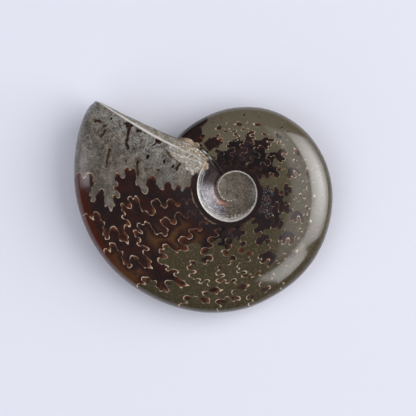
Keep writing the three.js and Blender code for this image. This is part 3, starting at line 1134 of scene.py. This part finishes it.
def shell_colour(g):
    """Olive, or brown by chamber and in folds and leaves, with orange at the tips of the folds.

    A point's own chamber is even or odd by the sign of its distance to the suture. In a fold, the share of
    its own kind in the blurred map is less than beside a straight suture.
    """
    growth, depth = g.field("growth"), g.field("depth")
    in_even = g.ramp(g.field("suture"), -0.02, 0.02)
    away = g.calc("ABSOLUTE", g.field("suture"))
    ahead, score, leaf_edge = (g.pick(in_even, g.field(name + "_odd"), g.field(name + "_even"))
                               for name in ("ahead", "brown", "leaf"))
    own_narrow = g.pick(in_even, g.but_not(g.field("narrow_even")), g.field("narrow_even"))
    own_wide = g.but_not(g.calc("ABSOLUTE", ahead))
    in_narrow = g.calc("SUBTRACT", g.field("narrow_straight"), own_narrow)
    in_wide = g.calc("SUBTRACT", g.field("wide_straight"), own_wide)
    old = g.ramp(growth, *OLD_PART)
    young = g.but_not(old)
    folded = g.calc("ADD", g.calc("MULTIPLY", g.calc("SUBTRACT", 0.62, own_wide), 1.6),
                    g.calc("MULTIPLY", in_wide, 1.5))
    brown = g.either(g.ramp(g.calc("ADD", score, folded), -0.1, 0.1), g.ramp(score, 0.85, 0.95))
    leaf = g.ramp(leaf_edge, 0.006, -0.006)
    longest_lobes = g.either(g.ramp(ahead, -0.3, -0.4), g.ramp(depth, -0.3, -0.4))
    fold = g.both(g.either(g.ramp(in_narrow, *FOLD), g.ramp(in_wide, *FOLD)),
                  g.spots(1.6, 1.0, 5.0, 0.42, 0.47),
                  g.either(young, g.ramp(depth, -0.18, -0.21)), g.either(young, longest_lobes))
    tip = g.either(g.ramp(in_narrow, 0.04, 0.2), g.both(g.ramp(in_wide, 0.06, 0.2), 0.8), g.both(leaf, 0.85))
    reach = g.pick(old, 0.7, 0.42)
    glow = g.both(tip, g.ramp(g.calc("DIVIDE", away, reach), 1.0, 0.15),
                  g.spots(1.5, 1.0, 6.0, 0.38, 0.6, 0.1, 1.0), 0.9)
    bright_glow = g.either(g.ramp(growth, 90.0, 120.0, 0.0, 0.8), g.both(g.ramp(score, 0.1, -0.5), 0.7))
    deep = g.blend(glow, brown_filling(g, growth, depth, away), g.blend(bright_glow, DIM_ORANGE, ORANGE))
    vein_colour = g.blend(g.ramp(g.field("vein"), -0.35, -0.05), DARK_BROWN, RED_BROWN)
    colour = g.layers(
        olive_shell(g, growth),
        (g.either(brown, fold, leaf), deep),
        (g.ramp(g.field("vein"), *VEIN_EDGE), vein_colour),
    )
    return colour, own_narrow, away


# %% [markdown]
# ## Suture lines and grey filling
#
# The chamber walls show as cream lines, bright round the tips of the folds and faint in between. They stop
# at the last suture, after which the grey filling of the open body chamber begins: sand and shell grit that
# set hard. Its grain is layers of noise of several sizes, as sand has, and thin lines come from noise close
# to its middle value.

# %% Cream lines
CREAM = linear(222, 202, 176)
DULL_CREAM = linear(128, 104, 84)
PEARL_BLUE = linear(158, 160, 168)
LINE_WIDTH = 0.062
FIRST_LINE = -114.0


def with_lines(g, colour, own_narrow, away):
    """Draws the sutures where the distance to them is small, and a patch of sparkling crystals."""
    growth, depth = g.field("growth"), g.field("depth")
    bend = g.calc("ABSOLUTE", g.calc("SUBTRACT", own_narrow, 0.5))
    leaf = g.either(g.ramp(g.field("leaf_even"), 0.01, -0.02), g.ramp(g.field("leaf_odd"), 0.01, -0.02))
    old_bright = g.either(g.ramp(bend, 0.1, 0.22, 0.03, 1.0), g.both(leaf, 0.36))
    young_bright = g.ramp(bend, 0.04, 0.17, 0.22, 1.0)
    near_rim = g.both(g.ramp(depth, -0.21, -0.17), g.ramp(growth, 70.0, 50.0))
    bright = g.both(
        g.pick(g.ramp(growth, 50.0, 110.0), old_bright, young_bright),
        g.but_not(g.both(near_rim, 0.72)),
        g.spots(2.2, 2.0, 4.0, 0.3, 0.55, 0.45, 1.0),
        g.ramp(depth, -1.15, -0.65, 0.2, 1.0),
        g.ramp(growth, FIRST_LINE, FIRST_LINE + 10),
    )
    width = g.ramp(bright, 0.0, 1.0, LINE_WIDTH * 0.72, LINE_WIDTH * 1.12)
    line = g.both(g.ramp(g.calc("DIVIDE", away, width), 1.5, 0.5), g.ramp(bright, 0.0, 0.6, 0.1, 0.97),
                  g.ramp(growth, FIRST_LINE, FIRST_LINE + 6), g.ramp(g.field("out"), 0.9, 1.6))
    sparkle = g.both(g.ramp(g.field("sparkle"), 0.2, -0.2), g.spots(0.3, 3.0, 5.0, 0.49, 0.66))
    return g.layers(
        colour,
        (line, g.blend(bright, DULL_CREAM, CREAM)),
        (g.both(g.ramp(g.field("streak"), 0.06, -0.06), 0.75), DULL_CREAM),
        (g.both(sparkle, 0.32), PEARL_BLUE),
    )


# %% Grey filling
GREY = linear(92, 84, 74)
GREY_DARK = linear(50, 44, 38)
GREY_LIGHT = linear(122, 115, 105)
GREY_BLUE = linear(112, 114, 112)
GREY_PALE = linear(152, 150, 144)
BEIGE = linear(160, 148, 130)
STAIN = linear(70, 50, 33)
MIDDLE_DARK = linear(52, 44, 38)
BLACK = linear(16, 13, 12)


def with_filling(g, colour):
    """The grainy grey filling between the last suture and the mouth, with brown grains and black pits."""
    growth, end, vein = g.field("growth"), g.field("end"), g.field("vein")
    coarse = g.noise(1.6, 4.0, shift=11.0)
    rough = g.ramp(growth, 180.0, 205.0, 0.45, 1.0)
    squiggle = g.near(g.noise(0.9, 2.0, shift=28.0), 0.5, 0.025, 0.008)
    dark_line = g.near(g.noise(1.1, 2.0, shift=29.0), 0.5, 0.03, 0.01)
    grey = g.layers(
        GREY,
        (g.ramp(coarse, 0.35, 0.65), GREY_LIGHT),
        (g.both(g.spots(3.0, 3.0, 15.0, 0.5, 0.62), g.ramp(end, 12.0, 4.0, 0.1, 0.8)), GREY_BLUE),
        (g.both(g.ramp(end, 7.0, 1.5), g.spots(1.4, 3.0, 33.0, 0.33, 0.53), 0.9), GREY_PALE),
        (g.both(g.spots(1.0, 3.0, 18.0, 0.52, 0.66), rough, 0.75), STAIN),
        (g.both(g.spots(0.32, 2.0, 12.0, 0.5, 0.66), rough, 0.85), GREY_DARK),
        (g.both(g.spots(0.26, 1.0, 13.0, 0.6, 0.68), rough, 0.7), BEIGE),
        (g.both(g.spots(0.22, 2.0, 25.0, 0.52, 0.62), 0.5), GREY_DARK),
        (g.both(squiggle, g.ramp(coarse, 0.5, 0.6), rough, 0.8), BEIGE),
        (g.both(dark_line, g.ramp(coarse, 0.5, 0.4), rough, 0.7), MIDDLE_DARK),
        (g.both(g.spots(0.5, 2.0, 19.0, 0.68, 0.72), g.ramp(growth, 190.0, 200.0)), BLACK),
        (g.ramp(vein, *VEIN_EDGE), g.blend(g.ramp(vein, -0.3, 0.0), DARK_BROWN, STAIN)),
    )
    return g.layers(
        colour,
        (g.ramp(g.field("last_suture"), -0.02, 0.05), grey),
        (g.ramp(g.field("pit"), 0.05, -0.05), BLACK),
    )


# %% [markdown]
# ## The hollow
#
# The hollow kept a pearly lining: whitish by the shoulder, bluish and purple lower down, dark brown by the
# mouth, dull and greenish on the innermost whorls. The white by the shoulder is pearl with a painted
# highlight, widest along the bottom, where the wall faces the light. Pearl grew in thin sheets, so its
# streaks are noise drawn out along the growth angle. A bright lip of pearl, also with a painted highlight,
# edges the hollow, and a dark ring runs round it outside.

# %% Hollow
PEARL = linear(204, 199, 192)
PEARL_PURPLE = linear(52, 42, 48)
PEARL_PINK = linear(100, 76, 72)
HOLLOW_BROWN = linear(38, 24, 24)
MIDDLE_GREY = linear(104, 93, 82)
MIDDLE_GREEN = linear(82, 74, 58)
ORANGE_SPOT = linear(150, 92, 62)
RING = linear(33, 20, 17)


def hollow_middle(g, mottle, growth):
    """The dull innermost whorls, with faint rings along them and ribs across."""
    rings = g.streaks("growth", 70.0, "out", 0.35, 2.0, shift=2.0)
    ribs = g.streaks("growth", 2.6, "out", 2.2, 1.0, shift=5.0)
    return g.layers(
        MIDDLE_GREEN,
        (g.spots(1.1, 3.0, 26.0, 0.38, 0.62), MIDDLE_GREY),
        (g.both(g.ramp(rings, 0.5, 0.68), 0.6), MIDDLE_DARK),
        (g.both(g.ramp(ribs, 0.52, 0.64), g.ramp(growth, -160.0, -120.0), 0.55), MIDDLE_DARK),
        (g.both(g.ramp(mottle, 0.42, 0.34), 0.5), MIDDLE_DARK),
        (g.both(g.ramp(mottle, 0.55, 0.7), 0.4), BEIGE),
    )


def hollow_lining(g, mottle, growth, out):
    """The pearly wall, bluish, then purple and pink further in, and the share of white by the shoulder:
    pearl with a painted highlight.
    """
    streaks = g.streaks("growth", 26.0, "out", 0.17, 4.0, shift=1.0)
    lining = g.layers(
        PEARL_PURPLE,
        (g.ramp(streaks, 0.43, 0.55), PEARL_BLUE),
        (g.both(g.ramp(out, -0.9, -1.7), 0.85), PEARL_PURPLE),
        (g.ramp(out, -2.5, -3.3), PEARL_PINK),
        (g.both(g.ramp(mottle, 0.56, 0.66), 0.6), PEARL_BLUE),
        (g.both(g.ramp(mottle, 0.42, 0.34), 0.8), PEARL_PURPLE),
        (g.both(g.ramp(growth, 172.0, 194.0), g.ramp(out, -0.5, -1.4), 0.9), HOLLOW_BROWN),
    )
    # Painted highlight: the white band is narrow at the right and top, and widest along the bottom, where
    # the wall faces the light.
    reach = g.calc("ADD", g.ramp(growth, 20.0, 90.0, -0.3, -1.6), g.ramp(growth, 110.0, 165.0, 0.0, 0.8))
    inward = g.calc("DIVIDE", out, reach)
    gaps = g.both(g.ramp(mottle, 0.52, 0.45), g.ramp(inward, 0.2, 0.5))
    return lining, g.both(g.ramp(inward, 1.0, 0.35), g.ramp(streaks, 0.4, 0.52, 0.15, 1.0), g.but_not(gaps))


def with_hollow(g, colour):
    """The hollow's lining and middle inside the shoulder, its bright lip, and a dark ring outside it. The
    white by the shoulder and the lip carry a painted highlight.
    """
    growth, out = g.field("growth"), g.field("out")
    mottle = g.noise(0.32, 2.0, shift=14.0)
    lining, white = hollow_lining(g, mottle, growth, out)
    middle = hollow_middle(g, mottle, growth)
    spot = g.calc("ADD", g.field("orange"), g.calc("MULTIPLY", g.calc("SUBTRACT", mottle, 0.5), 2.0))
    lining = g.layers(
        lining,
        (g.ramp(growth, 125.0, 90.0), middle),
        # Pearl white with a painted highlight by the shoulder.
        (white, PEARL),
        (g.ramp(growth, COVERED_TURN + 30.0, COVERED_TURN + 5.0), middle),
        (g.ramp(spot, 0.15, -0.15), ORANGE_SPOT),
    )
    # The lip is pearl with a painted highlight, brightest from the bottom round to the left.
    lip = g.both(g.near(out, -0.06, 0.17, 0.06), g.ramp(mottle, 0.34, 0.5, 0.4, 1.0),
                 g.ramp(growth, -215.0, -165.0), g.ramp(growth, 60.0, 110.0, 0.6, 1.0),
                 g.ramp(g.field("end"), 0.1, 1.0))
    specks = g.both(g.near(out, 0.0, 0.45, 0.1), g.ramp(mottle, 0.5, 0.6),
                    g.ramp(growth, -290.0, -265.0), g.ramp(growth, -175.0, -200.0))
    return g.layers(
        colour,
        (g.both(g.ramp(out, 1.2, 0.75), g.ramp(growth, 212.0, 196.0)), RING),
        (g.ramp(out, 0.05, -0.03), lining),
        (g.either(lip, specks), PEARL),
    )


# %% [markdown]
# ## The broken mouth
#
# The mouth broke off rough, beige and white. Towards its tip it was ground down to a grey strip. By the
# hollow, thin crust creeps over the polished edge in layers, with two thicker slabs of tan. Painted shade
# lies black in the crevice where the mouth stands on the turn before.

# %% Mouth
TAN = linear(142, 119, 95)
PALE_TAN = linear(196, 176, 150)
WHITE_CRUST = linear(216, 211, 203)
STRIP_GREY = linear(216, 213, 203)
STRIP_DARK = linear(138, 136, 124)
FACE_BROWN = linear(112, 103, 88)
GROUND_PART = (11.0, 15.0)
FOOT_LENGTH = (8.0, 6.5)


def mouth_face_colour(g, radius, end, patches, fine):
    """The face: beige and white by the hollow, and towards the tip a pale strip round a darker inside."""
    rough = g.layers(
        TAN,
        (g.ramp(patches, 0.42, 0.6), BEIGE),
        (g.ramp(fine, 0.5, 0.6), WHITE_CRUST),
        (g.ramp(fine, 0.4, 0.32), MIDDLE_DARK),
        (g.ramp(radius, 7.5, 6.8), HOLLOW_BROWN),
    )
    inside = g.layers(
        STRIP_DARK,
        (g.spots(1.8, 5.0, 34.0, 0.4, 0.6), FACE_BROWN),
        (g.ramp(fine, 0.6, 0.68), STRIP_GREY),
    )
    strip = g.layers(
        STRIP_GREY,
        (g.ramp(fine, 0.4, 0.62), WHITE_CRUST),
        (g.ramp(end, -0.8, -1.8), inside),
        (g.both(g.near(end, -0.75, 0.16, 0.05), g.ramp(patches, 0.4, 0.55), 0.6), TAN),
    )
    return g.blend(g.ramp(radius, *GROUND_PART), rough, strip)


def with_mouth(g, colour):
    """The mouth's face, the crust over its edge, and the line where it stands on the turn before, with
    painted shade in the crevice there.
    """
    radius, out, end, foot = (g.field(name) for name in ("radius", "out", "end", "foot"))
    patches = g.noise(1.1, 4.0, shift=16.0)
    fine = g.noise(0.5, 3.0, shift=17.0)
    layered = g.streaks("out", 2.6, "end", 0.45, 3.0, shift=27.0)
    thin_crust = g.layers(
        GREY_PALE,
        (g.ramp(layered, 0.4, 0.56), BEIGE),
        (g.ramp(layered, 0.58, 0.66), WHITE_CRUST),
        (g.ramp(fine, 0.56, 0.66), WHITE_CRUST),
        (g.ramp(fine, 0.41, 0.34), STAIN),
    )
    crust_share = g.both(g.ramp(g.field("crust"), 0.3, 0.6), g.ramp(layered, 0.38, 0.5, 0.35, 0.9),
                         g.ramp(out, 0.0, 0.15), g.ramp(radius, 6.9, 7.4))
    # Painted shade: black in the crevice along the mouth's foot on the turn before.
    foot_crevice_shade = g.both(g.ramp(foot, 1.0, 0.5), g.ramp(out, 8.5, 7.0), g.ramp(patches, 0.4, 0.5),
                 g.ramp(out, 0.4, 1.2))
    slab = g.ramp(g.field("slab"), 0.03, -0.05)
    white_line = g.both(g.near(foot, 0.3, 0.24, 0.08), g.ramp(out, *FOOT_LENGTH), g.ramp(out, 3.4, 4.4),
                        g.ramp(patches, 0.4, 0.6), 0.8)
    edge = g.both(g.near(end, 0.0, 0.28, 0.06), g.ramp(radius, 8.0, 11.0), 0.8)
    face = g.ramp(end, 0.12, -0.05)
    by_foot = g.both(g.ramp(foot, 0.75, 0.4), g.ramp(out, *FOOT_LENGTH), g.ramp(out, 0.0, 0.2))
    colour = g.layers(
        colour,
        (crust_share, thin_crust),
        (foot_crevice_shade, BLACK),
        (slab, g.blend(g.ramp(patches, 0.4, 0.6), TAN, PALE_TAN)),
        (white_line, WHITE_CRUST),
        (face, mouth_face_colour(g, radius, end, patches, fine)),
        (edge, WHITE_CRUST),
        # Painted shade: near black in the crevice by the mouth's foot, close to the hollow.
        (g.both(by_foot, g.ramp(out, 4.0, 3.0)), NEAR_BLACK),
    )
    return colour, g.either(face, slab, g.both(crust_share, 0.6), by_foot)


# %% [markdown]
# ## One material
#
# The whole stone has one polish, so it has one material. The filling is a little duller than the shell, the
# hollow is duller still, and what is broken is matt. A high Specular IOR Level stands for the hard polish
# of the flank.

# %% Put the material together
REFRACTION = 1.55
BUMP_HEIGHT = 0.03
IN_HOLLOW = (0.1, -0.1)


def fossil_material():
    """One polished stone: colour in layers, a high polish, and roughness only on the broken parts."""
    g = Graph("polished fossil")
    colour, own_narrow, away = shell_colour(g)
    colour = with_lines(g, colour, own_narrow, away)
    colour = with_filling(g, colour)
    colour = with_hollow(g, colour)
    colour, rough = with_mouth(g, colour)
    specks = g.both(g.spots(0.16, 1.0, 20.0, 0.68, 0.76), g.but_not(rough), 0.35)
    g.put(g.shader.inputs["Base Color"], g.blend(specks, colour, GREY_LIGHT))
    filling = g.ramp(g.field("last_suture"), -0.02, 0.3)
    in_hollow = g.ramp(g.field("out"), *IN_HOLLOW)
    dull = g.pick(in_hollow, g.pick(filling, 0.1, 0.22), 0.32)
    dull = g.calc("ADD", dull, g.spots(0.8, 3.0, 22.0, 0.45, 0.7, 0.0, 0.05))
    g.put(g.shader.inputs["Roughness"], g.pick(rough, dull, 0.8))
    g.shader.inputs["IOR"].default_value = REFRACTION
    shine = g.pick(filling, g.ramp(g.field("depth"), -0.1, -0.03, 0.9, 0.4), 0.55)
    shine = g.pick(in_hollow, shine, g.ramp(g.field("growth"), 196.0, 165.0, 0.15, 0.8))
    g.put(g.shader.inputs["Specular IOR Level"], g.pick(rough, shine, 0.3))
    bump = g.tree.nodes.new("ShaderNodeBump")
    bump.inputs["Distance"].default_value = BUMP_HEIGHT * MM
    height = g.both(g.noise(0.25, 3.0, shift=24.0), g.pick(rough, g.pick(filling, 0.04, 0.35), 3.0))
    g.put(bump.inputs["Height"], height)
    g.put(g.shader.inputs["Normal"], bump.outputs["Normal"])
    return g.material


fossil.data.materials.append(fossil_material())
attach(fossil, "root")
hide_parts("ammonite")
print("material nodes:", len(fossil.data.materials[0].node_tree.nodes))

# %% [markdown]
# ## Floor, light and camera
#
# The fossil lies on a pale lavender sheet by a large window on its right. Light from there glances off the
# right flank, which leaves the long bright reflection, and the shadow falls to the left. Some panels here
# light the stone and others show in its polish, so that the shadow's softness and the reflection's shape
# can be set one by one. The camera looks straight down through a long lens, so that the flank and the rim
# keep their true places.

# %% Floor
FLOOR_HALF = 1.5
FLOOR_DROP = 0.00002
LAVENDER = (0.86, 0.87, 0.975, 1)


def plain_floor():
    """A large square just under the flat."""
    corners = np.array([(-1, -1, 0), (1, -1, 0), (1, 1, 0), (-1, 1, 0)]) * FLOOR_HALF - (0, 0, FLOOR_DROP)
    floor = mesh_object("floor", corners, np.array([(0, 1, 2), (0, 2, 3)]))
    g = Graph("pale sheet")
    g.shader.inputs["Base Color"].default_value = LAVENDER
    g.shader.inputs["Roughness"].default_value = 0.7
    g.shader.inputs["Specular IOR Level"].default_value = 0.0
    floor.data.materials.append(g.material)


plain_floor()

# %% Lights
WARM_WHITE = (1.0, 0.99, 0.98)
COOL_WHITE = (0.95, 0.97, 1.0)
WINDOW_WHITE = (1.0, 0.98, 1.0)
ROOM = (0.86, 0.88, 1.0, 1)
ROOM_STRENGTH = 0.1
# Each panel's name, degrees above the floor and round from +X, distance and size in metres, brightness and
# tint.
LIGHTING_PANELS = [
    ("window", 40, 8, 1.2, (1.4, 1.2), 2.55, WARM_WHITE),
    ("ceiling", 78, 150, 1.4, (1.8, 1.8), 0.75, COOL_WHITE),
    ("left wall", 38, 218, 1.2, (1.6, 1.2), 0.85, (0.95, 0.96, 1.0)),
]
# The same for the panels that are seen in the polish, and their spread in degrees.
REFLECTED_PANELS = [
    ("window in the polish", 28.5, 8, 0.9, (1.1, 0.79), 1.2, WINDOW_WHITE, 85),
    ("window's upper pane in the polish", 62, 8, 0.9, (1.0, 0.26), 0.25, WINDOW_WHITE, 100),
    ("second window in the polish", 34, -44, 0.9, (0.34, 0.5), 0.46, (1.0, 0.98, 0.97), 75),
    ("left window in the polish", 27, 180, 0.9, (0.25, 0.36), 0.32, (1.0, 0.95, 1.0), 70),
]


def panel(name, elevation, azimuth, distance, size, brightness, tint, spread=180, reflected=False):
    """A panel that looks at the origin. Its power is its brightness times its area times pi.

    It either lights the scene or is seen in the polish. A spread of less than 180 degrees makes the panel
    brightest in its middle.
    """
    data = bpy.data.lights.new(name, "AREA")
    data.shape = "RECTANGLE"
    data.size, data.size_y = size
    data.energy = brightness * size[0] * size[1] * math.pi
    data.color = tint
    data.spread = math.radians(spread)
    lamp = bpy.data.objects.new(name, data)
    bpy.context.collection.objects.link(lamp)
    lamp.visible_glossy = reflected
    lamp.visible_diffuse = not reflected
    up, around = math.radians(elevation), math.radians(azimuth)
    level = distance * math.cos(up)
    lamp.location = (level * math.cos(around), level * math.sin(around), distance * math.sin(up))
    lamp.rotation_euler = (math.radians(90 - elevation), 0, math.radians(azimuth + 90))


for values in LIGHTING_PANELS:
    panel(*values)
for values in REFLECTED_PANELS:
    panel(*values, reflected=True)
world = bpy.data.worlds.new("room")
bpy.context.scene.world = world
world.use_nodes = True
background = world.node_tree.nodes["Background"]
background.inputs["Color"].default_value = ROOM
background.inputs["Strength"].default_value = ROOM_STRENGTH
bpy.context.scene.view_settings.view_transform = "Standard"
bpy.context.scene.view_settings.look = "None"
print("panels:", len(LIGHTING_PANELS), "that light and", len(REFLECTED_PANELS), "in the polish")

# %% Camera
# At the rim's height one pixel of the photograph covers this much. The two middles are in its pixels.
PIXEL = 0.2 * MM
RIM_HEIGHT = 2 * MM
PHOTO_MIDDLE = 208
OBJECT_MIDDLE = (203.6, 206.1)
LENS = 250
FILM = 36
camera_data = bpy.data.cameras.new("camera")
camera_data.lens = LENS
camera_data.sensor_width = FILM
camera = bpy.data.objects.new("camera", camera_data)
bpy.context.collection.objects.link(camera)
frame_width = 2 * PHOTO_MIDDLE * PIXEL
camera.location = (
    (PHOTO_MIDDLE - OBJECT_MIDDLE[0]) * PIXEL,
    (OBJECT_MIDDLE[1] - PHOTO_MIDDLE) * PIXEL,
    RIM_HEIGHT + frame_width * LENS / FILM,
)
bpy.context.scene.camera = camera
print("camera height:", round(camera.location.z, 3))
